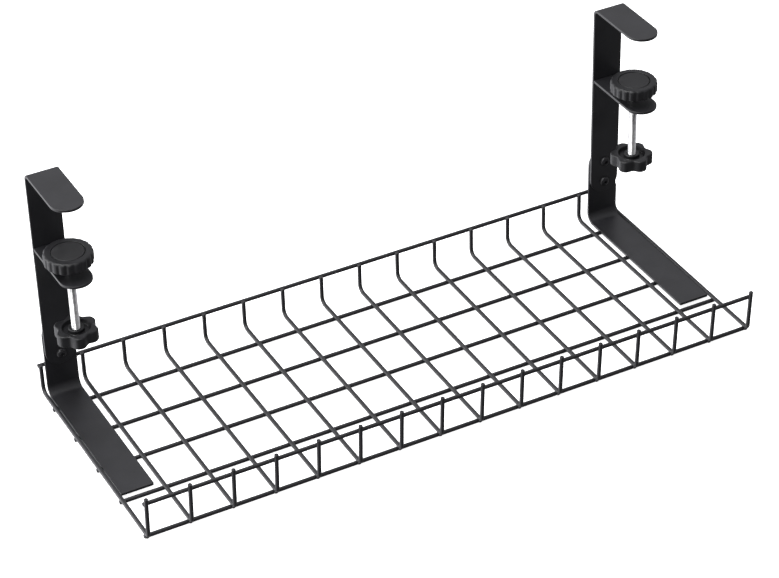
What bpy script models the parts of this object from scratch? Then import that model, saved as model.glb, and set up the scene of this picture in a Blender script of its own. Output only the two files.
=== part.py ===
"""Under-desk cable tray: a welded wire basket carried by two desk clamps.

+X runs along the tray, +Y to the back, +Z up. The origin is at the middle of the tray on the surface that
its lowest wires stand on. Each clamp's screw raises a swivelling pressure pad towards a fixed lip.
"""

from math import atan2, cos, pi, radians, sin, sqrt, tau

import bmesh
import bpy
from mathutils import Matrix, Vector

MM = 0.001
GAP = 0.3 * MM

# The wire basket.
TRAY_DEPTH = 190 * MM
WIRE_DIAMETER = 2.8 * MM
WIRE_RADIUS = WIRE_DIAMETER / 2
CROSS_WIRE_COUNT = 16
END_WIRE_SPACING = 473 * MM
RAIL_LENGTH = 476 * MM
FRONT_TOP_RAIL_OVERHANG = 1.8 * MM
RAIL_Z = WIRE_RADIUS
FLOOR_Z = RAIL_Z + WIRE_DIAMETER + GAP
FRONT_TIP_Z = 37 * MM
BACK_TIP_Z = 27 * MM
FRONT_TIP_Y = WIRE_RADIUS - TRAY_DEPTH / 2
FRONT_LEAN = 1.7 * MM
BACK_Y = TRAY_DEPTH / 2 - WIRE_RADIUS - WIRE_DIAMETER - GAP
FRONT_BEND_RADIUS = 3 * MM
BACK_BEND_RADIUS = 5.5 * MM
REAR_FLOOR_RAIL_Y = 70.5 * MM
FLOOR_RAIL_PITCH = 39.1 * MM
FLOOR_RAIL_COUNT = 4
FRONT_BOTTOM_RAIL_Y = -87.4 * MM
FRONT_TOP_RAIL_Y = -90.2 * MM
FRONT_TOP_RAIL_Z = 30.7 * MM
BACK_TOP_RAIL_Z = 25.1 * MM

# The flat-strip brackets. Both plates of one clamp share a centre line.
BRACKET_X = 222.65 * MM
PLATE = 2 * MM
TRAY_BRACKET_WIDTH = 24 * MM
TRAY_BRACKET_BACK_Y = 87.7 * MM
TRAY_BRACKET_TOP_Z = 64.9 * MM
TRAY_BRACKET_LEG_Z = RAIL_Z + WIRE_RADIUS + GAP + PLATE / 2
TRAY_BRACKET_LEG_FRONT_Y = -43.2 * MM
TRAY_BRACKET_BEND_RADIUS = 7.5 * MM
CLAMP_BAR_WIDTH = 23.4 * MM
CLAMP_BAR_Y = TRAY_BRACKET_BACK_Y - 1.5 * PLATE - GAP
CLAMP_BAR_BOTTOM_Z = 29 * MM
CLAMP_BAR_BEND_RADIUS = 4 * MM
LIP_TOP_Z = 189.2 * MM
LIP_TIP_Y = 27.6 * MM
JAW_TOP_Z = 129.7 * MM
JAW_TIP_Y = 25.3 * MM
JAW_BACK_Y = CLAMP_BAR_Y - PLATE / 2 - GAP

# The clamp screw, pad and knob share one upright axis.
CLAMP_Y = 46.8 * MM
CLAMP_ROD_RADIUS = 3 * MM
CLAMP_ROD_BOTTOM_Z = 76 * MM
CLAMP_ROD_TOP_Z = 141 * MM
CLAMP_ROD_CHAMFER = 0.6 * MM
CLAMP_BORE_RADIUS = 3.5 * MM
JAW_NUT_FLATS = 10 * MM
JAW_NUT_HEIGHT = 5 * MM
PAD_RADIUS = 17.2 * MM
PAD_BOTTOM_Z = 136.7 * MM
PAD_TOP_Z = 145 * MM
PAD_EDGE = 0.8 * MM
PAD_FLUTES = 20
PAD_FLUTE_DEPTH = 0.4 * MM
PAD_RECESS_RADIUS = 11.8 * MM
PAD_RECESS_DEPTH = 1.8 * MM
PAD_INSERT_RADIUS = 11.35 * MM
PAD_INSERT_TOP_Z = PAD_TOP_Z - 0.1 * MM
KNOB_RADIUS = 15.6 * MM
KNOB_BOTTOM_Z = 74 * MM
KNOB_TOP_Z = 83 * MM
KNOB_EDGE = 0.8 * MM
KNOB_LOBES = 6
KNOB_NOTCH_RADIUS = 5.8 * MM
KNOB_NOTCH_DISTANCE = 18.6 * MM
KNOB_DISH_RADIUS = 10 * MM
KNOB_HUB_RADIUS = 5.4 * MM
KNOB_DISH_DEPTH = 3 * MM

# The screws and nuts that hold each clamp bar on its tray bracket.
SCREW_HEIGHTS = {"lower": 37.8 * MM, "upper": 55.5 * MM}
SCREW_RADIUS = 2 * MM
SCREW_HOLE_RADIUS = 2.4 * MM
SCREW_HEAD_RADIUS = 3.8 * MM
SCREW_HEAD_HEIGHT = 2.2 * MM
SCREW_TIP_Y = 92.5 * MM
NUT_FLATS = 7 * MM
NUT_THICKNESS = 3.2 * MM

SIDES = {"left": -1, "right": 1}
# One lobe of each knob points this far round from +X, as the two screws were left.
KNOB_PHASE = {"left": radians(-42), "right": radians(-26)}

UPRIGHT = Matrix.Identity(4)
FACING_FRONT = Matrix.Rotation(radians(90), 4, "X")
FACING_RIGHT = Matrix.Rotation(radians(90), 4, "Z") @ Matrix.Rotation(radians(90), 4, "X")


def clear_scene():
    for old in list(bpy.data.objects):
        bpy.data.objects.remove(old, do_unlink=True)


def new_collection(name):
    made = bpy.data.collections.new(name)
    bpy.context.scene.collection.children.link(made)
    return made


def new_material(name, colour, roughness, metallic):
    made = bpy.data.materials.new(name)
    made.use_nodes = True
    shader = made.node_tree.nodes["Principled BSDF"]
    shader.inputs["Base Color"].default_value = (*colour, 1)
    shader.inputs["Roughness"].default_value = roughness
    shader.inputs["Metallic"].default_value = metallic
    made.diffuse_color = (*colour, 1)
    return made


clear_scene()
TRAY = new_collection("cable_tray")
CUTTERS = new_collection("cable_tray_cutters")
POWDER_COAT = new_material("black_powder_coat", (0.03, 0.03, 0.032), 0.42, 0.0)
STEEL = new_material("zinc_plated_steel", (0.62, 0.62, 0.6), 0.3, 1.0)
BLACK_STEEL = new_material("black_oxide_steel", (0.035, 0.035, 0.037), 0.35, 0.8)
PLASTIC = new_material("black_moulded_plastic", (0.018, 0.018, 0.02), 0.5, 0.0)
RUBBER = new_material("dark_rubber", (0.03, 0.03, 0.032), 0.8, 0.0)


# Outlines are lists of (x, y) points.
def arc(centre, radius, start, end, steps):
    """Points along an arc, both ends included, with the angles in radians."""
    angles = [start + (end - start) * i / steps for i in range(steps + 1)]
    return [(centre[0] + radius * cos(a), centre[1] + radius * sin(a)) for a in angles]


def circle(radius, steps=32):
    return arc((0, 0), radius, 0, tau, steps)[:-1]


def hexagon(flats):
    return circle(flats / sqrt(3), 6)


def round_ended(width, straight_end, tip, steps=12):
    """A strip outline along y: square at straight_end and a half circle at tip."""
    half = width / 2
    towards_tip = 1 if tip > straight_end else -1
    centre = (0, tip - towards_tip * half)
    end = arc(centre, half, 0, towards_tip * pi, steps)
    return [(half, straight_end), *end, (-half, straight_end)]


def star(phase):
    """A disc outline with a round notch between each two lobes."""
    middle = (KNOB_RADIUS**2 + KNOB_NOTCH_DISTANCE**2 - KNOB_NOTCH_RADIUS**2) / (2 * KNOB_NOTCH_DISTANCE)
    corner = (middle, sqrt(KNOB_RADIUS**2 - middle**2))
    notch_half_angle = atan2(corner[1], corner[0])
    sweep = pi - atan2(corner[1], corner[0] - KNOB_NOTCH_DISTANCE)
    points = []
    for lobe in range(KNOB_LOBES):
        lobe_angle = phase + lobe * tau / KNOB_LOBES
        notch_angle = lobe_angle + pi / KNOB_LOBES
        half_lobe = pi / KNOB_LOBES - notch_half_angle
        points += arc((0, 0), KNOB_RADIUS, lobe_angle - half_lobe, lobe_angle + half_lobe, 4)
        notch_centre = (KNOB_NOTCH_DISTANCE * cos(notch_angle), KNOB_NOTCH_DISTANCE * sin(notch_angle))
        facing_in = notch_angle + pi
        points += arc(notch_centre, KNOB_NOTCH_RADIUS, facing_in + sweep, facing_in - sweep, 6)[1:-1]
    return points


def fluted(radius, depth, flutes, steps=6):
    """A round outline whose edge swings in by depth once for each flute."""
    count = flutes * steps
    points = []
    for i in range(count):
        angle = tau * i / count
        reach = radius - depth * abs(sin(flutes * angle / 2)) ** 3
        points.append((reach * cos(angle), reach * sin(angle)))
    return points


def rounded_path(corners, radius, steps):
    """The path through corners, with each inner corner replaced by an arc of the radius."""
    path = [Vector(corners[0])]
    for before, corner, after in zip(corners, corners[1:], corners[2:]):
        corner = Vector(corner)
        back = (Vector(before) - corner).normalized()
        ahead = (Vector(after) - corner).normalized()
        half_angle = back.angle(ahead) / 2
        centre = corner + (back + ahead).normalized() * radius / sin(half_angle)
        start = corner + back * radius * cos(half_angle) / sin(half_angle) - centre
        turn = back.cross(ahead).normalized()
        for i in range(steps + 1):
            angle = -(pi - 2 * half_angle) * i / steps
            path.append(centre + Matrix.Rotation(angle, 3, turn) @ start)
    path.append(Vector(corners[-1]))
    return path


# Solids.
def place(obj, material, location=(0, 0, 0)):
    obj.location = location
    obj.data.materials.append(material)
    TRAY.objects.link(obj)
    return obj


def mesh_from_curve(curve, name, turn=UPRIGHT):
    """The curve's surface as a welded mesh object, turned about its own origin."""
    guide = bpy.data.objects.new(name + "_guide", curve)
    bpy.context.scene.collection.objects.link(guide)
    bpy.context.view_layer.update()
    evaluated = guide.evaluated_get(bpy.context.evaluated_depsgraph_get())
    mesh = bpy.data.meshes.new_from_object(evaluated)
    bpy.data.objects.remove(guide, do_unlink=True)
    work = bmesh.new()
    work.from_mesh(mesh)
    bmesh.ops.remove_doubles(work, verts=work.verts, dist=0.001 * MM)
    bmesh.ops.recalc_face_normals(work, faces=work.faces)
    work.to_mesh(mesh)
    work.free()
    mesh.transform(turn)
    mesh.shade_smooth()
    mesh.set_sharp_from_angle(angle=radians(30))
    mesh.name = name
    return bpy.data.objects.new(name, mesh)


def wire(name, path):
    """A round wire along the path, with flat cut ends."""
    curve = bpy.data.curves.new(name, "CURVE")
    curve.dimensions = "3D"
    curve.bevel_depth = WIRE_RADIUS
    curve.bevel_resolution = 2
    curve.use_fill_caps = True
    spline = curve.splines.new("POLY")
    spline.points.add(len(path) - 1)
    for point, place_of_point in zip(spline.points, path):
        point.co = (*place_of_point, 1)
    spline.use_smooth = True
    return place(bpy.data.objects.new(name, curve), POWDER_COAT)


def extruded(name, outlines, low, high, turn=UPRIGHT, edge=0.0):
    """Flat outlines, the later ones being holes in the first, made solid from low to high along their normal."""
    curve = bpy.data.curves.new(name, "CURVE")
    curve.dimensions = "2D"
    curve.fill_mode = "BOTH"
    curve.extrude = (high - low) / 2 - edge
    curve.bevel_depth = edge
    curve.bevel_resolution = 1
    curve.offset = -edge
    for outline in outlines:
        spline = curve.splines.new("POLY")
        spline.points.add(len(outline) - 1)
        for point, (x, y) in zip(spline.points, outline):
            point.co = (x, y, 0, 1)
        spline.use_cyclic_u = True
    lift = Matrix.Translation((0, 0, (low + high) / 2))
    return mesh_from_curve(curve, name, turn @ lift)


def cylinder(name, radius, low, high, turn=UPRIGHT, segments=32):
    mesh = bpy.data.meshes.new(name)
    work = bmesh.new()
    bmesh.ops.create_cone(
        work, cap_ends=True, segments=segments, radius1=radius, radius2=radius, depth=high - low
    )
    work.to_mesh(mesh)
    work.free()
    mesh.transform(turn @ Matrix.Translation((0, 0, (low + high) / 2)))
    return bpy.data.objects.new(name, mesh)


def turned(name, profile, closed=False, steps=32):
    """A solid turned about Z from (radius, height) points that run down its outer side."""
    mesh = bpy.data.meshes.new(name)
    count = len(profile)
    edges = [(i, i + 1) for i in range(count - 1)]
    if closed:
        edges.append((count - 1, 0))
    mesh.from_pydata([(radius, 0, height) for radius, height in profile], edges, [])
    made = bpy.data.objects.new(name, mesh)
    screw = made.modifiers.new("turn", "SCREW")
    screw.steps = steps
    screw.render_steps = steps
    screw.use_merge_vertices = True
    screw.merge_threshold = 0.001 * MM
    screw.use_smooth_shade = True
    return made


def trim(target, cutter, operation):
    """Adds a Boolean to target with a hidden cutter."""
    cutter.hide_render = True
    cutter.display_type = "WIRE"
    CUTTERS.objects.link(cutter)
    modifier = target.modifiers.new(cutter.name, "BOOLEAN")
    modifier.operation = operation
    modifier.object = cutter
    return target


def bent_strip(name, corners, bend_radius, width):
    """A plate bent along corners given as (y, z), as wide as the outlines that trim it."""
    path = rounded_path([(y, z, 0) for y, z in corners], bend_radius, 6)
    sides = ([], [])
    for i, point in enumerate(path):
        ahead = path[min(i + 1, len(path) - 1)] - path[max(i - 1, 0)]
        across = Vector((-ahead.y, ahead.x, 0)).normalized() * PLATE / 2
        sides[0].append(point + across)
        sides[1].append(point - across)
    outline = [(point.x, point.y) for point in sides[0] + sides[1][::-1]]
    return extruded(name, [outline], -width / 2, width / 2, FACING_RIGHT)


def drill_screw_holes(plate, side):
    for level, height in SCREW_HEIGHTS.items():
        turn = Matrix.Translation((0, 0, height)) @ FACING_FRONT
        hole = cylinder(f"{plate.name}_{level}_hole", SCREW_HOLE_RADIUS, -SCREW_TIP_Y, -CLAMP_Y, turn, 24)
        hole.location = (side * BRACKET_X, 0, 0)
        trim(plate, hole, "DIFFERENCE")


# The basket.
def cross_wires():
    corners = [
        (0, FRONT_TIP_Y, FRONT_TIP_Z),
        (0, FRONT_TIP_Y + FRONT_LEAN, FLOOR_Z),
        (0, BACK_Y, FLOOR_Z),
        (0, BACK_Y, BACK_TIP_Z),
    ]
    front = rounded_path(corners[:3], FRONT_BEND_RADIUS, 4)[:-1]
    back = rounded_path(corners[1:], BACK_BEND_RADIUS, 4)[1:]
    pitch = END_WIRE_SPACING / (CROSS_WIRE_COUNT - 1)
    for i in range(CROSS_WIRE_COUNT):
        across = Vector((i * pitch - END_WIRE_SPACING / 2, 0, 0))
        wire(f"cross_wire_{i + 1:02d}", [point + across for point in front + back])


def rail(name, y, z, right_overhang=0.0):
    wire(name, [(-RAIL_LENGTH / 2, y, z), (RAIL_LENGTH / 2 + right_overhang, y, z)])


def rails():
    rail("front_top_rail", FRONT_TOP_RAIL_Y, FRONT_TOP_RAIL_Z, FRONT_TOP_RAIL_OVERHANG)
    rail("front_bottom_rail", FRONT_BOTTOM_RAIL_Y, RAIL_Z)
    for i in range(FLOOR_RAIL_COUNT):
        rail(f"floor_rail_{i + 1}", REAR_FLOOR_RAIL_Y - i * FLOOR_RAIL_PITCH, RAIL_Z)
    rail("back_top_rail", TRAY_DEPTH / 2 - WIRE_RADIUS, BACK_TOP_RAIL_Z)


# The clamps.
def tray_bracket(name, side):
    """The L-shaped plate welded into the basket: a leg on the floor rails and an upright with a round top."""
    upright_y = TRAY_BRACKET_BACK_Y - PLATE / 2
    corners = [
        (TRAY_BRACKET_LEG_FRONT_Y, TRAY_BRACKET_LEG_Z),
        (upright_y, TRAY_BRACKET_LEG_Z),
        (upright_y, TRAY_BRACKET_TOP_Z),
    ]
    plate = bent_strip(name, corners, TRAY_BRACKET_BEND_RADIUS, TRAY_BRACKET_WIDTH + 2 * MM)
    place(plate, POWDER_COAT, (side * BRACKET_X, 0, 0))
    front_view = round_ended(TRAY_BRACKET_WIDTH, 0, TRAY_BRACKET_TOP_Z)
    keep = extruded(name + "_front_view", [front_view], -TRAY_DEPTH, TRAY_DEPTH, FACING_FRONT)
    keep.location = plate.location
    trim(plate, keep, "INTERSECT")
    drill_screw_holes(plate, side)


def clamp_bar(name, side):
    """The upright plate bolted to the tray bracket, bent forward at the top into the lip over the desk."""
    lip_z = LIP_TOP_Z - PLATE / 2
    corners = [(CLAMP_BAR_Y, CLAMP_BAR_BOTTOM_Z), (CLAMP_BAR_Y, lip_z), (LIP_TIP_Y, lip_z)]
    plate = bent_strip(name, corners, CLAMP_BAR_BEND_RADIUS, CLAMP_BAR_WIDTH + 2 * MM)
    place(plate, POWDER_COAT, (side * BRACKET_X, 0, 0))
    front_view = round_ended(CLAMP_BAR_WIDTH, LIP_TOP_Z + 2 * MM, CLAMP_BAR_BOTTOM_Z)
    keep_bottom = extruded(name + "_front_view", [front_view], -TRAY_DEPTH, TRAY_DEPTH, FACING_FRONT)
    top_view = round_ended(CLAMP_BAR_WIDTH, TRAY_DEPTH / 2, LIP_TIP_Y)
    keep_lip = extruded(name + "_top_view", [top_view], 0, LIP_TOP_Z + 2 * MM)
    for keep in (keep_bottom, keep_lip):
        keep.location = plate.location
        trim(plate, keep, "INTERSECT")
    drill_screw_holes(plate, side)


def lower_jaw(name, side):
    """The round-ended tongue on the clamp bar that the clamp screw runs through."""
    outline = round_ended(CLAMP_BAR_WIDTH, JAW_BACK_Y, JAW_TIP_Y)
    hole = [(x, y + CLAMP_Y) for x, y in circle(CLAMP_BORE_RADIUS, 24)]
    plate = extruded(name, [outline, hole], JAW_TOP_Z - PLATE, JAW_TOP_Z)
    place(plate, POWDER_COAT, (side * BRACKET_X, 0, 0))


def jaw_nut(name, side):
    top = JAW_TOP_Z - PLATE - GAP
    loops = [hexagon(JAW_NUT_FLATS), circle(CLAMP_BORE_RADIUS, 24)]
    nut = extruded(name, loops, top - JAW_NUT_HEIGHT, top)
    place(nut, BLACK_STEEL, (side * BRACKET_X, CLAMP_Y, 0))


def clamp_rod(name, side):
    """The threaded rod, moulded into the knob below and turning in the pad above."""
    radius = CLAMP_ROD_RADIUS
    chamfer = CLAMP_ROD_CHAMFER
    profile = [
        (0, CLAMP_ROD_TOP_Z),
        (radius - chamfer, CLAMP_ROD_TOP_Z),
        (radius, CLAMP_ROD_TOP_Z - chamfer),
        (radius, CLAMP_ROD_BOTTOM_Z),
        (0, CLAMP_ROD_BOTTOM_Z),
    ]
    place(turned(name, profile, steps=24), STEEL, (side * BRACKET_X, CLAMP_Y, 0))


def star_knob(name, side, phase):
    """The six-lobed hand knob, dished on top around a hub that holds the rod."""
    knob = extruded(name, [star(phase)], KNOB_BOTTOM_Z, KNOB_TOP_Z, edge=KNOB_EDGE)
    place(knob, PLASTIC, (side * BRACKET_X, CLAMP_Y, 0))
    over = KNOB_TOP_Z + 1 * MM
    floor = KNOB_TOP_Z - KNOB_DISH_DEPTH
    dish_profile = [
        (KNOB_HUB_RADIUS, over),
        (KNOB_DISH_RADIUS, over),
        (KNOB_DISH_RADIUS, floor),
        (KNOB_HUB_RADIUS, floor),
    ]
    dish = turned(name + "_dish", dish_profile, closed=True)
    socket = cylinder(name + "_socket", CLAMP_ROD_RADIUS + GAP, CLAMP_ROD_BOTTOM_Z - GAP, over, segments=24)
    for cutter in (dish, socket):
        cutter.location = knob.location
        trim(knob, cutter, "DIFFERENCE")


def pressure_pad(name, side):
    """The fluted cup that the rod's end turns in and that presses on the underside of the desk."""
    outline = fluted(PAD_RADIUS, PAD_FLUTE_DEPTH, PAD_FLUTES)
    pad = extruded(name, [outline], PAD_BOTTOM_Z, PAD_TOP_Z, edge=PAD_EDGE)
    place(pad, PLASTIC, (side * BRACKET_X, CLAMP_Y, 0))
    above = PAD_TOP_Z + 1 * MM
    below = PAD_BOTTOM_Z - 1 * MM
    recess = cylinder(name + "_recess", PAD_RECESS_RADIUS, PAD_TOP_Z - PAD_RECESS_DEPTH, above, segments=40)
    socket = cylinder(name + "_socket", CLAMP_BORE_RADIUS, below, CLAMP_ROD_TOP_Z + GAP, segments=24)
    for cutter in (recess, socket):
        cutter.location = pad.location
        trim(pad, cutter, "DIFFERENCE")


def pad_insert(name, side):
    disc = cylinder(name, PAD_INSERT_RADIUS, PAD_TOP_Z - PAD_RECESS_DEPTH + GAP, PAD_INSERT_TOP_Z, segments=40)
    place(disc, RUBBER, (side * BRACKET_X, CLAMP_Y, 0))


def bracket_screw(name, side, height):
    """A button-head screw through both plates, with its axis along Y and its head at the front."""
    head_y = CLAMP_BAR_Y - PLATE / 2 - GAP
    length = SCREW_TIP_Y - head_y
    dome_radius = (SCREW_HEAD_RADIUS**2 + SCREW_HEAD_HEIGHT**2) / (2 * SCREW_HEAD_HEIGHT)
    rim_angle = atan2(SCREW_HEAD_RADIUS, dome_radius - SCREW_HEAD_HEIGHT)
    dome_centre = (0, SCREW_HEAD_HEIGHT - dome_radius)
    dome = arc(dome_centre, dome_radius, pi / 2, pi / 2 - rim_angle, 5)
    profile = [(0, SCREW_HEAD_HEIGHT), *dome[1:-1], (SCREW_HEAD_RADIUS, 0)]
    profile += [(SCREW_RADIUS, 0), (SCREW_RADIUS, -length), (0, -length)]
    screw = place(turned(name, profile, steps=20), BLACK_STEEL, (side * BRACKET_X, head_y, height))
    screw.rotation_euler = (radians(90), 0, 0)


def bracket_nut(name, side, height):
    front = TRAY_BRACKET_BACK_Y + GAP
    loops = [hexagon(NUT_FLATS), circle(SCREW_HOLE_RADIUS, 20)]
    nut = extruded(name, loops, -front - NUT_THICKNESS, -front, FACING_FRONT)
    place(nut, BLACK_STEEL, (side * BRACKET_X, 0, height))


def clamp(side_name, side):
    tray_bracket(f"{side_name}_tray_bracket", side)
    clamp_bar(f"{side_name}_clamp_bar", side)
    lower_jaw(f"{side_name}_lower_jaw", side)
    jaw_nut(f"{side_name}_jaw_nut", side)
    clamp_rod(f"{side_name}_clamp_rod", side)
    star_knob(f"{side_name}_star_knob", side, KNOB_PHASE[side_name])
    pressure_pad(f"{side_name}_pressure_pad", side)
    pad_insert(f"{side_name}_pad_insert", side)
    for level, height in SCREW_HEIGHTS.items():
        bracket_screw(f"{side_name}_{level}_screw", side, height)
        bracket_nut(f"{side_name}_{level}_nut", side, height)


cross_wires()
rails()
for side_name, side in SIDES.items():
    clamp(side_name, side)
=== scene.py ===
"""Looks of the under-desk cable tray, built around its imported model, in metres and in the model's frame."""

from math import cos, pi, radians, sin, sqrt, tau

import bmesh
import bpy
import numpy as np
from mathutils import Euler, Matrix, Vector, noise

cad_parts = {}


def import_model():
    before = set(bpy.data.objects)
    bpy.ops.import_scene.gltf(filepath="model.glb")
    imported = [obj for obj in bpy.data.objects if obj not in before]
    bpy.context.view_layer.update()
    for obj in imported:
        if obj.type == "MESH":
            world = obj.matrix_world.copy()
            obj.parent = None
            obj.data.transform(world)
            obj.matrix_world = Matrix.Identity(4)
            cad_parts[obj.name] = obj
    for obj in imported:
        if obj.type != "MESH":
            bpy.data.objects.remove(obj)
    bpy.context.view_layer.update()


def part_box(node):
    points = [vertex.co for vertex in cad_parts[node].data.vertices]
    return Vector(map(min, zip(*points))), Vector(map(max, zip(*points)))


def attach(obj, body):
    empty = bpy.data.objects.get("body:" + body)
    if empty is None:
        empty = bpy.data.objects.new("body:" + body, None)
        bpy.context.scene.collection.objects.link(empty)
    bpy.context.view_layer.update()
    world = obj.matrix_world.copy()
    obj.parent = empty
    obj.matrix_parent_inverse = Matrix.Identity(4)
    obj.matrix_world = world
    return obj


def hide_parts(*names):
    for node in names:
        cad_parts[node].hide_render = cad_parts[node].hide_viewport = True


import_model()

MM = 0.001
SIDES = ("left", "right")

# Wire basket.
WIRE_SIDES = 20
# The shown wires are this much thicker all round than the model's.
WIRE_EXTRA = 0.12 * MM
WIRE_END_ROUND = 0.35 * MM
FRONT_BEND_RADIUS = 3 * MM
BACK_BEND_RADIUS = 5.5 * MM
FRONT_LEAN = 1.7 * MM
BEND_STEPS = 10
WELD_SINK = 0.25 * MM
WELD_SPREAD = 1.35 * MM
WELD_THICK = 0.85 * MM

# Sheet metal.
PLATE_EDGE = 0.28 * MM
BRACKET_BEND_RADIUS = 7.5 * MM
BAR_BEND_RADIUS = 4 * MM
SCREW_HOLE_RADIUS = 2.4 * MM
CLAMP_BORE_RADIUS = 3.5 * MM
LEG_CORNER = 0.8 * MM
JAW_CORNER = 0.3 * MM
JAW_WELD_BEADS = 15

# Fasteners.
NUT_FLATS = 7 * MM
NUT_BORE_RADIUS = 2.05 * MM
SHANK_RADIUS = 2 * MM
SOCKET_FLATS = 2.5 * MM
HEAD_RIM = 0.35 * MM

# Pressure pad.
PAD_FLUTES = 20
PAD_FLUTE_DEPTH = 0.65 * MM
PAD_RIM_ROUND = 1.9 * MM
PAD_RECESS_RADIUS = 11.8 * MM
PAD_RECESS_DEPTH = 1.6 * MM

# Threaded rod: M6 with a 1 mm pitch.
THREAD_PITCH = 1 * MM
THREAD_DEPTH = 0.5 * MM
THREAD_ANGLES = 24
THREAD_STEPS = 8

# Star knob.
KNOB_RADIUS = 15.6 * MM
KNOB_LOBES = 6
KNOB_NOTCH_DEPTH = 2.9 * MM
KNOB_NOTCH_HALF_ANGLE = radians(26)
KNOB_EDGE = 1.1 * MM
KNOB_DISH_RADIUS = 10 * MM
KNOB_DISH_DEPTH = 3.2 * MM
KNOB_HUB_RADIUS = 5.6 * MM
KNOB_PHASE = {"left": radians(-42), "right": radians(-26)}


# Materials.
def shader_material(name, colour, roughness, metallic=0.0):
    made = bpy.data.materials.new(name)
    made.use_nodes = True
    shader = made.node_tree.nodes["Principled BSDF"]
    shader.inputs["Base Color"].default_value = (*colour, 1)
    shader.inputs["Roughness"].default_value = roughness
    shader.inputs["Metallic"].default_value = metallic
    return made, made.node_tree, shader


def noise_node(tree, scale, detail=3.0, stretch=(1, 1, 1)):
    """Noise in the piece's own coordinates, with features about 1 / scale metres across."""
    place = tree.nodes.new("ShaderNodeTexCoord")
    mapping = tree.nodes.new("ShaderNodeMapping")
    mapping.inputs["Scale"].default_value = stretch
    made = tree.nodes.new("ShaderNodeTexNoise")
    made.inputs["Scale"].default_value = scale
    made.inputs["Detail"].default_value = detail
    tree.links.new(place.outputs["Object"], mapping.inputs["Vector"])
    tree.links.new(mapping.outputs["Vector"], made.inputs["Vector"])
    return made


def vary(tree, source, socket, low, high):
    """Drives a shader socket between low and high with a noise."""
    span = tree.nodes.new("ShaderNodeMapRange")
    span.inputs["From Min"].default_value = 0.3
    span.inputs["From Max"].default_value = 0.7
    span.inputs["To Min"].default_value = low
    span.inputs["To Max"].default_value = high
    tree.links.new(source.outputs["Fac"], span.inputs["Value"])
    tree.links.new(span.outputs["Result"], socket)


def vary_colour(tree, source, socket, low, high):
    ramp = tree.nodes.new("ShaderNodeValToRGB")
    ramp.color_ramp.elements[0].position = 0.35
    ramp.color_ramp.elements[0].color = (*low, 1)
    ramp.color_ramp.elements[1].position = 0.65
    ramp.color_ramp.elements[1].color = (*high, 1)
    tree.links.new(source.outputs["Fac"], ramp.inputs["Fac"])
    tree.links.new(ramp.outputs["Color"], socket)


def bump(tree, shader, layers):
    """Stacks bumps, each given as (noise, height in metres, strength)."""
    below = None
    for source, height, strength in layers:
        node = tree.nodes.new("ShaderNodeBump")
        node.inputs["Distance"].default_value = height
        node.inputs["Strength"].default_value = strength
        tree.links.new(source.outputs["Fac"], node.inputs["Height"])
        if below:
            tree.links.new(below.outputs["Normal"], node.inputs["Normal"])
        below = node
    tree.links.new(below.outputs["Normal"], shader.inputs["Normal"])


def powder_coat():
    """Satin black powder coat: faint orange peel, a fine grain and slight patches in sheen and tone."""
    made, tree, shader = shader_material("powder_coat", (0.012, 0.012, 0.014), 0.4)
    patches = noise_node(tree, 60, 4)
    grain = noise_node(tree, 2600, 2)
    peel = noise_node(tree, 620, 2)
    vary_colour(tree, patches, shader.inputs["Base Color"], (0.010, 0.010, 0.0115), (0.014, 0.014, 0.016))
    vary(tree, grain, shader.inputs["Roughness"], 0.36, 0.46)
    bump(tree, shader, [(peel, 0.00004, 0.45), (grain, 0.00002, 0.5)])
    return made


def moulded_plastic():
    """Black moulded plastic with a spark-eroded grain."""
    made, tree, shader = shader_material("moulded_plastic", (0.01, 0.01, 0.011), 0.42)
    patches = noise_node(tree, 90, 3)
    grain = noise_node(tree, 3200, 3)
    vary_colour(tree, patches, shader.inputs["Base Color"], (0.008, 0.008, 0.009), (0.013, 0.013, 0.0145))
    vary(tree, patches, shader.inputs["Roughness"], 0.38, 0.48)
    shader.inputs["Specular IOR Level"].default_value = 0.38
    bump(tree, shader, [(grain, 0.00002, 0.5)])
    return made


def dark_rubber():
    made, tree, shader = shader_material("dark_rubber", (0.015, 0.015, 0.016), 0.55)
    grain = noise_node(tree, 2400, 4)
    patches = noise_node(tree, 130, 3)
    vary_colour(tree, patches, shader.inputs["Base Color"], (0.012, 0.012, 0.013), (0.018, 0.018, 0.019))
    vary(tree, patches, shader.inputs["Roughness"], 0.5, 0.6)
    shader.inputs["Specular IOR Level"].default_value = 0.4
    bump(tree, shader, [(grain, 0.00003, 0.5)])
    return made


def zinc_steel():
    """Bright zinc plate, drawn along the rod, with small dull patches."""
    made, tree, shader = shader_material("zinc_steel", (0.8, 0.8, 0.79), 0.26, 1.0)
    drawn = noise_node(tree, 900, 3, (1, 1, 0.06))
    patches = noise_node(tree, 350, 3)
    vary_colour(tree, patches, shader.inputs["Base Color"], (0.7, 0.7, 0.7), (0.86, 0.86, 0.85))
    vary(tree, drawn, shader.inputs["Roughness"], 0.26, 0.36)
    bump(tree, shader, [(drawn, 0.000004, 0.2)])
    return made


def black_oxide():
    """Blackened steel for the fasteners."""
    made, tree, shader = shader_material("black_oxide", (0.03, 0.03, 0.033), 0.34, 0.6)
    patches = noise_node(tree, 700, 4)
    grain = noise_node(tree, 3000, 2)
    vary_colour(tree, patches, shader.inputs["Base Color"], (0.024, 0.024, 0.027), (0.042, 0.041, 0.043))
    vary(tree, patches, shader.inputs["Roughness"], 0.28, 0.42)
    bump(tree, shader, [(grain, 0.00001, 0.4)])
    return made


POWDER_COAT = powder_coat()
PLASTIC = moulded_plastic()
RUBBER = dark_rubber()
ZINC = zinc_steel()
BLACK_OXIDE = black_oxide()


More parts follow.
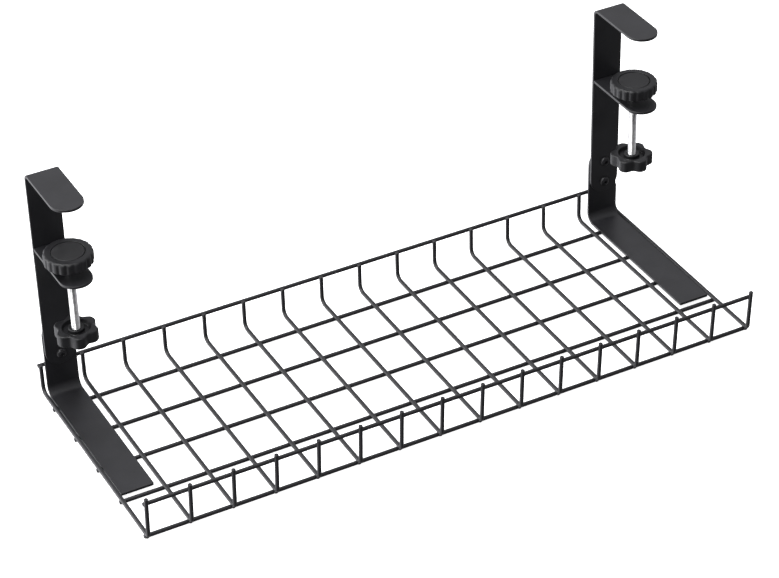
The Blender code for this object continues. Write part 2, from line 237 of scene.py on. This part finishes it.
# Pieces.
def piece(node, mesh, material, body="tray", sharp=40, weighted=False):
    """Shows a mesh in place of the CAD node, on the node's body."""
    made = bpy.data.objects.new(node + "_shown", mesh)
    bpy.context.scene.collection.objects.link(made)
    mesh.materials.append(material)
    mesh.shade_smooth()
    mesh.set_sharp_from_angle(angle=radians(sharp))
    if weighted:
        normals = made.modifiers.new("normals", "WEIGHTED_NORMAL")
        normals.keep_sharp = True
    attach(made, body)
    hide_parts(node)
    return made


def mesh_of(name, work):
    bmesh.ops.recalc_face_normals(work, faces=work.faces)
    mesh = bpy.data.meshes.new(name)
    work.to_mesh(mesh)
    work.free()
    return mesh


def middle(node):
    low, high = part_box(node)
    return (low + high) / 2


def arc_points(centre, start, turn, angle, steps):
    """Points from start, turned about centre through the angle, round the turn axis."""
    return [centre + Matrix.Rotation(angle * i / steps, 3, turn) @ (start - centre) for i in range(steps + 1)]


def add_wire(work, path, radius, across):
    """A round wire along a path that is flat across one direction, with its cut ends rounded."""
    path = list(path)
    ends = [(path[1] - path[0]).normalized(), (path[-1] - path[-2]).normalized()]
    inner = radius - WIRE_END_ROUND
    path[1:1] = [path[0] + ends[0] * WIRE_END_ROUND]
    path[-1:-1] = [path[-1] - ends[1] * WIRE_END_ROUND]
    radii = [inner, *[radius] * (len(path) - 2), inner]
    rings = []
    for i, (point, reach) in enumerate(zip(path, radii)):
        along = (path[min(i + 1, len(path) - 1)] - path[max(i - 1, 0)]).normalized()
        up = across.cross(along)
        ring = []
        for k in range(WIRE_SIDES):
            angle = tau * k / WIRE_SIDES
            ring.append(work.verts.new(point + (across * cos(angle) + up * sin(angle)) * reach))
        rings.append(ring)
    for low, high in zip(rings, rings[1:]):
        for k in range(WIRE_SIDES):
            after = (k + 1) % WIRE_SIDES
            work.faces.new((low[k], low[after], high[after], high[k]))
    work.faces.new(rings[0][::-1])
    work.faces.new(rings[-1])


def add_weld(work, centre, normal, spread=WELD_SPREAD, thick=WELD_THICK):
    """A small uneven weld nugget, flattened along the normal."""
    turn = normal.to_track_quat("Z", "Y").to_matrix().to_4x4()
    shape = Matrix.Translation(centre) @ turn @ Matrix.Diagonal((spread, spread, thick, 1))
    made = bmesh.ops.create_icosphere(work, subdivisions=2, radius=1)
    for vert in made["verts"]:
        swell = 1 + 0.16 * noise.noise(vert.co * 1.7 + centre * 900)
        vert.co = shape @ (vert.co * swell)


# Basket.
RAILS = ["front_top_rail", "front_bottom_rail", *[f"floor_rail_{i}" for i in range(1, 5)], "back_top_rail"]
WIRES = [f"cross_wire_{i:02d}" for i in range(1, 17)]
WIRE_LOW, WIRE_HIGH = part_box(WIRES[0])
WIRE_RADIUS = (WIRE_HIGH.x - WIRE_LOW.x) / 2
RAIL_RADIUS = middle("floor_rail_1").z
FLOOR_Z = WIRE_LOW.z + WIRE_RADIUS - WELD_SINK
# The back uprights end a little above the middle of the back rail.
BACK_WIRE_TOP = middle("back_top_rail").z + 1.9 * MM


def wire_path(x):
    """The U of one cross wire: front upright, floor, back upright."""
    front_tip = Vector((x, WIRE_LOW.y + WIRE_RADIUS, WIRE_HIGH.z))
    front_foot = Vector((x, front_tip.y + FRONT_LEAN, FLOOR_Z))
    back_foot = Vector((x, WIRE_HIGH.y - WIRE_RADIUS, FLOOR_Z))
    back_tip = Vector((x, back_foot.y, BACK_WIRE_TOP))
    path = [front_tip]
    for before, corner, after, radius in (
        (front_tip, front_foot, back_foot, FRONT_BEND_RADIUS),
        (front_foot, back_foot, back_tip, BACK_BEND_RADIUS),
    ):
        back = (before - corner).normalized()
        ahead = (after - corner).normalized()
        half = back.angle(ahead) / 2
        centre = corner + (back + ahead).normalized() * radius / sin(half)
        start = corner + back * radius / (sin(half) / cos(half))
        path += arc_points(centre, start, back.cross(ahead).normalized(), -(pi - 2 * half), BEND_STEPS)
    path.append(back_tip)
    return path


def upright_y(height):
    """Where a front upright's centre is at a height."""
    top = WIRE_LOW.y + WIRE_RADIUS
    return top + FRONT_LEAN * (WIRE_HIGH.z - height) / (WIRE_HIGH.z - FLOOR_Z)


def rail_shift(node):
    """How far a rail moves so that it meets the cross wires."""
    if node in ("front_top_rail", "back_top_rail"):
        return Vector((0, -WELD_SINK, 0))
    return Vector((0, 0, 0))


def weld_points(x):
    """Where one cross wire is welded to the rails, and which way each joint faces."""
    up = Vector((0, 0, 1))
    for node in RAILS[1:-1]:
        rail = middle(node)
        yield Vector((x, rail.y, (rail.z + RAIL_RADIUS + FLOOR_Z - WIRE_RADIUS) / 2)), up
    top = middle("front_top_rail")
    front = upright_y(top.z)
    yield Vector((x, (front + top.y - WELD_SINK) / 2, top.z)), Vector((0, 1, 0))
    foot = middle("front_bottom_rail")
    yield Vector((x, foot.y - 2.5 * MM, foot.z + 0.75 * MM)), Vector((0, 1, 0.6))
    back = middle("back_top_rail")
    yield Vector((x, (WIRE_HIGH.y - WIRE_RADIUS + back.y - WELD_SINK) / 2, back.z)), Vector((0, 1, 0))


def cross_wires():
    for node in WIRES:
        x = middle(node).x
        work = bmesh.new()
        add_wire(work, wire_path(x), WIRE_RADIUS + WIRE_EXTRA, Vector((1, 0, 0)))
        for centre, normal in weld_points(x):
            add_weld(work, centre, normal)
        piece(node, mesh_of(node, work), POWDER_COAT)


def rails():
    for node in RAILS:
        low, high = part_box(node)
        centre = (low + high) / 2 + rail_shift(node)
        count = 24
        step = (high.x - low.x) / count
        path = [Vector((low.x + step * i, centre.y, centre.z)) for i in range(count + 1)]
        work = bmesh.new()
        add_wire(work, path, (high.z - low.z) / 2 + WIRE_EXTRA, Vector((0, 1, 0)))
        piece(node, mesh_of(node, work), POWDER_COAT)


# Sheet metal. Outlines are lists of (x, y).
def outline_arc(centre, radius, start, end, steps):
    angles = [start + (end - start) * i / steps for i in range(steps + 1)]
    return [(centre[0] + radius * cos(a), centre[1] + radius * sin(a)) for a in angles]


def strip_outline(width, length, corner):
    """A strip along y from 0, with small corners at its start and a half circle at its end."""
    half = width / 2
    return [
        *outline_arc((-half + corner, corner), corner, pi, 1.5 * pi, 4),
        *outline_arc((half - corner, corner), corner, -0.5 * pi, 0, 4),
        *outline_arc((0, length - half), half, 0, pi, 32),
    ]


def hole_outline(radius, y):
    return outline_arc((0, y), radius, 0, tau, 32)[:-1]


def flat_plate(name, outlines, thickness, edge=PLATE_EDGE):
    """Outlines, the later ones holes in the first, as a plate about z = 0 with rounded edges."""
    curve = bpy.data.curves.new(name, "CURVE")
    curve.dimensions = "2D"
    curve.fill_mode = "BOTH"
    curve.extrude = thickness / 2 - edge
    curve.bevel_depth = edge
    curve.bevel_resolution = 2
    curve.offset = -edge
    for outline in outlines:
        spline = curve.splines.new("POLY")
        spline.points.add(len(outline) - 1)
        for point, (x, y) in zip(spline.points, outline):
            point.co = (x, y, 0, 1)
        spline.use_cyclic_u = True
    guide = bpy.data.objects.new(name, curve)
    bpy.context.scene.collection.objects.link(guide)
    bpy.context.view_layer.update()
    mesh = bpy.data.meshes.new_from_object(guide.evaluated_get(bpy.context.evaluated_depsgraph_get()))
    bpy.data.objects.remove(guide)
    work = bmesh.new()
    work.from_mesh(mesh)
    bmesh.ops.remove_doubles(work, verts=work.verts, dist=0.001 * MM)
    return work


def bend_plate(work, start, heading, straight, radius, steps=12):
    """Bends a flat plate through 90 degrees in the YZ plane.

    The plate's y becomes the way along a path that begins at start, goes straight ahead and then turns
    towards the plate's +z side. heading is the path's first direction, in radians from +Y towards +Z.
    """
    quarter = radius * pi / 2
    for i in range(steps + 1):
        station = straight + quarter * i / steps
        cut = [*work.verts, *work.edges, *work.faces]
        bmesh.ops.bisect_plane(work, geom=cut, plane_co=(0, station, 0), plane_no=(0, 1, 0), dist=1e-7)
    for vert in work.verts:
        along = vert.co.y
        before = min(along, straight)
        turned = min(max(along - straight, 0), quarter) / radius
        after = max(along - straight - quarter, 0)
        angle = heading + turned
        y = start[0] + before * cos(heading) + radius * (sin(angle) - sin(heading)) + after * cos(angle)
        z = start[1] + before * sin(heading) - radius * (cos(angle) - cos(heading)) + after * sin(angle)
        y -= vert.co.z * sin(angle)
        z += vert.co.z * cos(angle)
        vert.co = (vert.co.x, y, z)


def move(work, x, y=0.0, z=0.0):
    bmesh.ops.translate(work, verts=work.verts, vec=(x, y, z))


def screw_heights(side_name):
    return [middle(f"{side_name}_{level}_screw").z for level in ("lower", "upper")]


def plate_thickness():
    low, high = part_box("left_lower_jaw")
    return high.z - low.z


PLATE = plate_thickness()


def tray_bracket(side_name):
    """The L bracket: leg on the floor rails, upright with a round top, tacked to the end wire."""
    node = f"{side_name}_tray_bracket"
    low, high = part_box(node)
    width = high.x - low.x
    upright = high.y - PLATE / 2
    leg_z = low.z + PLATE / 2
    straight = upright - BRACKET_BEND_RADIUS - low.y
    bend_length = BRACKET_BEND_RADIUS * pi / 2
    length = straight + bend_length + high.z - leg_z - BRACKET_BEND_RADIUS
    holes = [
        hole_outline(SCREW_HOLE_RADIUS, straight + bend_length + height - leg_z - BRACKET_BEND_RADIUS)
        for height in screw_heights(side_name)
    ]
    work = flat_plate(node, [strip_outline(width, length, LEG_CORNER), *holes], PLATE)
    bend_plate(work, (low.y, leg_z), 0, straight, BRACKET_BEND_RADIUS)
    move(work, (low.x + high.x) / 2)
    piece(node, mesh_of(node, work), POWDER_COAT, weighted=True)


def clamp_bar(side_name):
    """The upright bar with its round foot, bent forward into the lip."""
    node = f"{side_name}_clamp_bar"
    low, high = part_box(node)
    width = high.x - low.x
    upright = high.y - PLATE / 2
    lip_z = high.z - PLATE / 2
    straight = upright - BAR_BEND_RADIUS - low.y
    bend_length = BAR_BEND_RADIUS * pi / 2
    rise = lip_z - BAR_BEND_RADIUS - low.z
    total = straight + bend_length + rise
    half = width / 2
    outline = [
        *outline_arc((0, half), half, pi, tau, 32),
        *outline_arc((0, total - half), half, 0, pi, 32),
    ]
    holes = [hole_outline(SCREW_HOLE_RADIUS, height - low.z) for height in screw_heights(side_name)]
    work = flat_plate(node, [outline, *holes], PLATE)
    bend_plate(work, (upright, low.z), pi / 2, rise, BAR_BEND_RADIUS)
    move(work, (low.x + high.x) / 2)
    piece(node, mesh_of(node, work), POWDER_COAT, weighted=True)


def lower_jaw(side_name):
    """The tongue that the clamp screw passes through, with its weld to the bar along the underside."""
    node = f"{side_name}_lower_jaw"
    low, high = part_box(node)
    axis_y = middle(f"{side_name}_clamp_rod").y
    length = high.y - low.y
    tongue = strip_outline(high.x - low.x, length, JAW_CORNER)
    bore = hole_outline(CLAMP_BORE_RADIUS, high.y - axis_y)
    work = flat_plate(node, [tongue, bore], PLATE)
    bmesh.ops.rotate(work, verts=work.verts, cent=(0, 0, 0), matrix=Matrix.Rotation(pi, 3, "Z"))
    move(work, (low.x + high.x) / 2, high.y, (low.z + high.z) / 2)
    slant = Vector((0, 1, 1)).normalized()
    for i in range(JAW_WELD_BEADS):
        x = low.x + (high.x - low.x) * (i + 0.5) / JAW_WELD_BEADS
        add_weld(work, Vector((x, high.y - 0.2 * MM, low.z)), slant, 1.3 * MM, 0.9 * MM)
    piece(node, mesh_of(node, work), POWDER_COAT, weighted=True)


# Turned and moulded pieces, as rings about their own upright axis.
def loft(name, rings, count, cap_low=True, cap_high=True):
    """A skin through rings given as (radius or radii round the ring, height), with flat caps at its ends."""
    angles = np.linspace(0, tau, count, endpoint=False)
    work = bmesh.new()
    loops = []
    for radii, height in rings:
        reach = np.broadcast_to(radii, count)
        loops.append(
            [work.verts.new((r * cos(a), r * sin(a), height)) for r, a in zip(reach, angles)]
        )
    for low, high in zip(loops, loops[1:]):
        for k in range(count):
            after = (k + 1) % count
            work.faces.new((low[k], low[after], high[after], high[k]))
    for wanted, loop, height in ((cap_low, loops[0], rings[0][1]), (cap_high, loops[-1], rings[-1][1])):
        if wanted:
            hub = work.verts.new((0, 0, height))
            for k in range(count):
                work.faces.new((loop[k], loop[(k + 1) % count], hub))
    return mesh_of(name, work)


def quarter_round(radius, height, size, steps, upwards=True):
    """(radius, height) pairs round an outer edge that ends flat at height."""
    pairs = []
    for i in range(steps + 1):
        angle = pi / 2 * i / steps
        drop = size * (1 - sin(angle))
        pairs.append((radius - size * (1 - cos(angle)), height - drop if upwards else height + drop))
    return pairs if upwards else pairs[::-1]


def pressure_pad(side_name):
    """The fluted pad: its flutes die out in a rounded rim, and its top is recessed for the insert."""
    node = f"{side_name}_pressure_pad"
    low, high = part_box(node)
    radius = (high.x - low.x) / 2
    count = PAD_FLUTES * 12
    angles = np.linspace(0, tau, count, endpoint=False)
    flute = PAD_FLUTE_DEPTH * np.sin(PAD_FLUTES * angles / 2) ** 4
    rings = [(CLAMP_BORE_RADIUS, low.z + 2 * MM), (CLAMP_BORE_RADIUS, low.z), (radius - 2 * MM, low.z)]
    for reach, height in quarter_round(radius, low.z, 0.8 * MM, 4, upwards=False):
        rings.append((reach - flute, height))
    rings.append((radius - flute, high.z - PAD_RIM_ROUND - 1 * MM))
    for reach, height in quarter_round(radius, high.z, PAD_RIM_ROUND, 8):
        share = sqrt(max(0, (high.z - height) / PAD_RIM_ROUND))
        rings.append((reach - flute * share, height))
    edge = 0.25 * MM
    rings += [
        (PAD_RECESS_RADIUS + edge, high.z),
        (PAD_RECESS_RADIUS, high.z - edge),
        (PAD_RECESS_RADIUS, high.z - PAD_RECESS_DEPTH),
    ]
    mesh = loft(node, rings, count)
    made = piece(node, mesh, PLASTIC, f"{side_name}_pad", weighted=True)
    place_on_axis(made, side_name)


def pad_insert(side_name):
    """The disc in the pad, with a rounded rim and a face that is crowned very slightly."""
    node = f"{side_name}_pad_insert"
    low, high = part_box(node)
    radius = (high.x - low.x) / 2
    rings = [(radius, low.z)]
    rings += quarter_round(radius, high.z, 0.5 * MM, 5)
    rings += [(radius * 0.75, high.z + 0.03 * MM), (radius * 0.4, high.z + 0.06 * MM)]
    made = piece(node, loft(node, rings, 96), RUBBER, f"{side_name}_pad", weighted=True)
    place_on_axis(made, side_name)


def place_on_axis(made, side_name):
    """Moves a piece built about the origin to its clamp's axis."""
    axis = middle(f"{side_name}_clamp_rod")
    made.location = (axis.x, axis.y, 0)


def clamp_rod(side_name):
    """The rod with a real helical thread, plain and chamfered at its ends."""
    node = f"{side_name}_clamp_rod"
    low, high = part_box(node)
    radius = (high.x - low.x) / 2
    angles = np.linspace(0, tau, THREAD_ANGLES, endpoint=False)
    turns = round((high.z - low.z) / THREAD_PITCH)
    rings = [(radius - THREAD_DEPTH, low.z)]
    count = turns * THREAD_STEPS
    for i in range(1, count):
        height = low.z + (high.z - low.z) * i / count
        phase = (height / THREAD_PITCH - angles / tau) % 1
        groove = np.clip(np.abs(phase - 0.5) * 2.6 - 0.25, 0, 1)
        fade = min(1, i / THREAD_STEPS, (count - i) / THREAD_STEPS)
        chamfer = THREAD_DEPTH * (1 - fade)
        rings.append((radius - np.maximum(THREAD_DEPTH * groove, chamfer), height))
    rings.append((radius - THREAD_DEPTH, high.z))
    made = piece(node, loft(node, rings, THREAD_ANGLES), ZINC, f"{side_name}_screw", sharp=70)
    place_on_axis(made, side_name)


def star_radii(angles, radius, phase):
    """The knob's outline, with a lobe at the phase and a round notch between each two lobes."""
    pitch = tau / KNOB_LOBES
    from_notch = np.abs((angles - phase) % pitch - pitch / 2)
    swell = np.where(
        from_notch < KNOB_NOTCH_HALF_ANGLE, 0.5 + 0.5 * np.cos(pi * from_notch / KNOB_NOTCH_HALF_ANGLE), 0
    )
    return radius - KNOB_NOTCH_DEPTH * swell


def star_knob(side_name):
    """The hand knob: rounded lobes, a dish in its top and a hub round the rod."""
    node = f"{side_name}_star_knob"
    low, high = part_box(node)
    count = KNOB_LOBES * 48
    angles = np.linspace(0, tau, count, endpoint=False)
    star = star_radii(angles, KNOB_RADIUS, KNOB_PHASE[side_name])
    rod = CLAMP_BORE_RADIUS - 0.3 * MM
    floor = high.z - KNOB_DISH_DEPTH
    rings = [(star - KNOB_EDGE * 2, low.z)]
    for reach, height in quarter_round(0, low.z, KNOB_EDGE, 4, upwards=False):
        rings.append((star + reach, height))
    for reach, height in quarter_round(0, high.z, KNOB_EDGE, 5):
        rings.append((star + reach, height))
    rings += [
        (KNOB_DISH_RADIUS + 0.4 * MM, high.z),
        (KNOB_DISH_RADIUS, high.z - 0.3 * MM),
        (KNOB_DISH_RADIUS - 0.5 * MM, floor + 0.5 * MM),
        (KNOB_DISH_RADIUS - 1 * MM, floor),
        (KNOB_HUB_RADIUS + 0.5 * MM, floor),
        (KNOB_HUB_RADIUS + 0.1 * MM, floor + 0.4 * MM),
        (KNOB_HUB_RADIUS, high.z - 0.5 * MM),
        (KNOB_HUB_RADIUS - 0.4 * MM, high.z - 0.1 * MM),
        (rod + 0.4 * MM, high.z - 0.1 * MM),
        (rod, high.z - 0.5 * MM),
        (rod, high.z - 2.5 * MM),
    ]
    made = piece(node, loft(node, rings, count), PLASTIC, f"{side_name}_screw", weighted=True)
    place_on_axis(made, side_name)


# Fasteners.
def hexagon_radii(angles, flats):
    return flats / 2 / np.cos((angles + radians(30)) % radians(60) - radians(30))


def hex_nut(name, flats, bore, height):
    """A nut about z = 0 to height, its corners chamfered at both ends."""
    count = 72
    angles = np.linspace(0, tau, count, endpoint=False)
    corners = hexagon_radii(angles, flats)
    chamfer = 0.08 * flats
    face = np.minimum(corners, flats / 2 * 0.99)
    shoulder = np.minimum(corners, flats / 2 + chamfer)
    rings = [
        (bore, 0),
        (face, 0),
        (shoulder, chamfer * 0.5),
        (corners, chamfer),
        (corners, height - chamfer),
        (shoulder, height - chamfer * 0.5),
        (face, height),
        (bore, height),
        (bore, height / 2),
    ]
    return loft(name, rings, count)


def jaw_nut(side_name):
    node = f"{side_name}_jaw_nut"
    low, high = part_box(node)
    flats = min(high.x - low.x, high.y - low.y)
    made = piece(node, hex_nut(node, flats, CLAMP_BORE_RADIUS, high.z - low.z), BLACK_OXIDE, weighted=True)
    place_on_axis(made, side_name)
    made.location.z = low.z


def bracket_screw(side_name, level):
    """A button-head screw with a hexagon socket, and the end of its shank behind the nut."""
    node = f"{side_name}_{level}_screw"
    low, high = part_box(node)
    centre = (low + high) / 2
    head = (high.x - low.x) / 2
    front = low.y
    bar_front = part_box(f"{side_name}_clamp_bar")[1].y - PLATE
    depth = bar_front - front
    count = 48
    angles = np.linspace(0, tau, count, endpoint=False)
    socket = hexagon_radii(angles, SOCKET_FLATS)
    dome = depth - HEAD_RIM
    rings = [(SHANK_RADIUS, high.y - front), (SHANK_RADIUS, depth), (head, depth), (head, dome)]
    for i in range(1, 7):
        angle = pi / 2 * i / 7
        rings.append((head * cos(angle * 0.9), dome * (1 - sin(angle))))
    rings += [(socket + 0.15 * MM, 0.02 * MM), (socket, 0.15 * MM), (socket, 1.2 * MM)]
    rings = [(radii, -height) for radii, height in rings]
    made = piece(node, loft(node, rings, count), BLACK_OXIDE, weighted=True)
    made.rotation_euler = Euler((radians(90), 0, 0))
    made.location = (centre.x, front, centre.z)


def bracket_nut(side_name, level):
    node = f"{side_name}_{level}_nut"
    low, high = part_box(node)
    centre = (low + high) / 2
    made = piece(node, hex_nut(node, NUT_FLATS, NUT_BORE_RADIUS, high.y - low.y), BLACK_OXIDE, weighted=True)
    made.rotation_euler = Euler((radians(90), 0, 0))
    made.location = (centre.x, high.y, centre.z)


def clamps():
    for side_name in SIDES:
        tray_bracket(side_name)
        clamp_bar(side_name)
        lower_jaw(side_name)
        jaw_nut(side_name)
        clamp_rod(side_name)
        star_knob(side_name)
        pressure_pad(side_name)
        pad_insert(side_name)
        for level in ("lower", "upper"):
            bracket_screw(side_name, level)
            bracket_nut(side_name, level)


# Studio.
def camera():
    data = bpy.data.cameras.new("camera")
    data.sensor_width = 36
    data.lens = 125.92
    data.clip_start = 0.05
    made = bpy.data.objects.new("camera", data)
    made.location = (-0.72185, -1.39495, 1.15829)
    made.rotation_euler = Euler((radians(55.156), radians(1.28), radians(-28.051)))
    bpy.context.scene.collection.objects.link(made)
    bpy.context.scene.camera = made


def floor():
    mesh = bpy.data.meshes.new("floor")
    reach = 8
    corners = [(-reach, -reach), (reach, -reach), (reach, reach), (-reach, reach)]
    mesh.from_pydata([(x, y, -WIRE_EXTRA) for x, y in corners], [], [(0, 1, 2, 3)])
    made = bpy.data.objects.new("floor", mesh)
    bpy.context.scene.collection.objects.link(made)
    material, _, shader = shader_material("floor", (0.9, 0.9, 0.9), 0.9)
    shader.inputs["Specular IOR Level"].default_value = 0.1
    shader.inputs["Emission Color"].default_value = (1, 1, 1, 1)
    shader.inputs["Emission Strength"].default_value = 0.85
    mesh.materials.append(material)
    made.visible_glossy = False
    made.visible_diffuse = False


def area_light(name, location, target, size, power):
    data = bpy.data.lights.new(name, "AREA")
    data.shape = "RECTANGLE"
    data.size, data.size_y = size
    data.energy = power
    made = bpy.data.objects.new(name, data)
    made.location = location
    made.rotation_euler = (Vector(target) - Vector(location)).to_track_quat("-Z", "Y").to_euler()
    bpy.context.scene.collection.objects.link(made)


def facing_value(tree, direction, start, end, low, high):
    """A smooth ramp over the directions of the world, by how far they face one way."""
    place = tree.nodes.new("ShaderNodeTexCoord")
    facing = tree.nodes.new("ShaderNodeVectorMath")
    facing.operation = "DOT_PRODUCT"
    facing.inputs[1].default_value = Vector(direction).normalized()
    span = tree.nodes.new("ShaderNodeMapRange")
    span.interpolation_type = "SMOOTHSTEP"
    span.inputs["From Min"].default_value = start
    span.inputs["From Max"].default_value = end
    span.inputs["To Min"].default_value = low
    span.inputs["To Max"].default_value = high
    tree.links.new(place.outputs["Generated"], facing.inputs[0])
    tree.links.new(facing.outputs["Value"], span.inputs["Value"])
    return span.outputs["Result"]


def world():
    """A soft studio: dim in front, lit behind, bright to the left, and white to the camera."""
    made = bpy.data.worlds.new("studio")
    bpy.context.scene.world = made
    made.use_nodes = True
    tree = made.node_tree
    tree.nodes.clear()
    behind = facing_value(tree, (0.1, 0.8, 0.5), -0.6, 0.7, 0.2, 0.66)
    left = facing_value(tree, (-0.8, 0.5, -0.35), 0.45, 0.95, 0, 1.6)
    total = tree.nodes.new("ShaderNodeMath")
    total.operation = "ADD"
    studio = tree.nodes.new("ShaderNodeBackground")
    studio.inputs["Color"].default_value = (0.96, 0.96, 1, 1)
    white = tree.nodes.new("ShaderNodeBackground")
    white.inputs["Color"].default_value = (1, 1, 1, 1)
    rays = tree.nodes.new("ShaderNodeLightPath")
    mix = tree.nodes.new("ShaderNodeMixShader")
    out = tree.nodes.new("ShaderNodeOutputWorld")
    tree.links.new(behind, total.inputs[0])
    tree.links.new(left, total.inputs[1])
    tree.links.new(total.outputs["Value"], studio.inputs["Strength"])
    tree.links.new(rays.outputs["Is Camera Ray"], mix.inputs["Fac"])
    tree.links.new(studio.outputs["Background"], mix.inputs[1])
    tree.links.new(white.outputs["Background"], mix.inputs[2])
    tree.links.new(mix.outputs["Shader"], out.inputs["Surface"])


def studio():
    camera()
    floor()
    world()
    area_light("top", (-0.7, 0.1, 1.9), (0, 0, 0), (1.4, 1.4), 42)
    area_light("fill", (-0.85, -0.55, 0.5), (-0.2, 0, 0.08), (0.5, 0.5), 4)
    area_light("left", (-1.7, 0.9, 0.35), (0, 0, 0.08), (1.0, 1.0), 14)
    bpy.context.scene.view_settings.view_transform = "Standard"


cross_wires()
rails()
clamps()
studio()
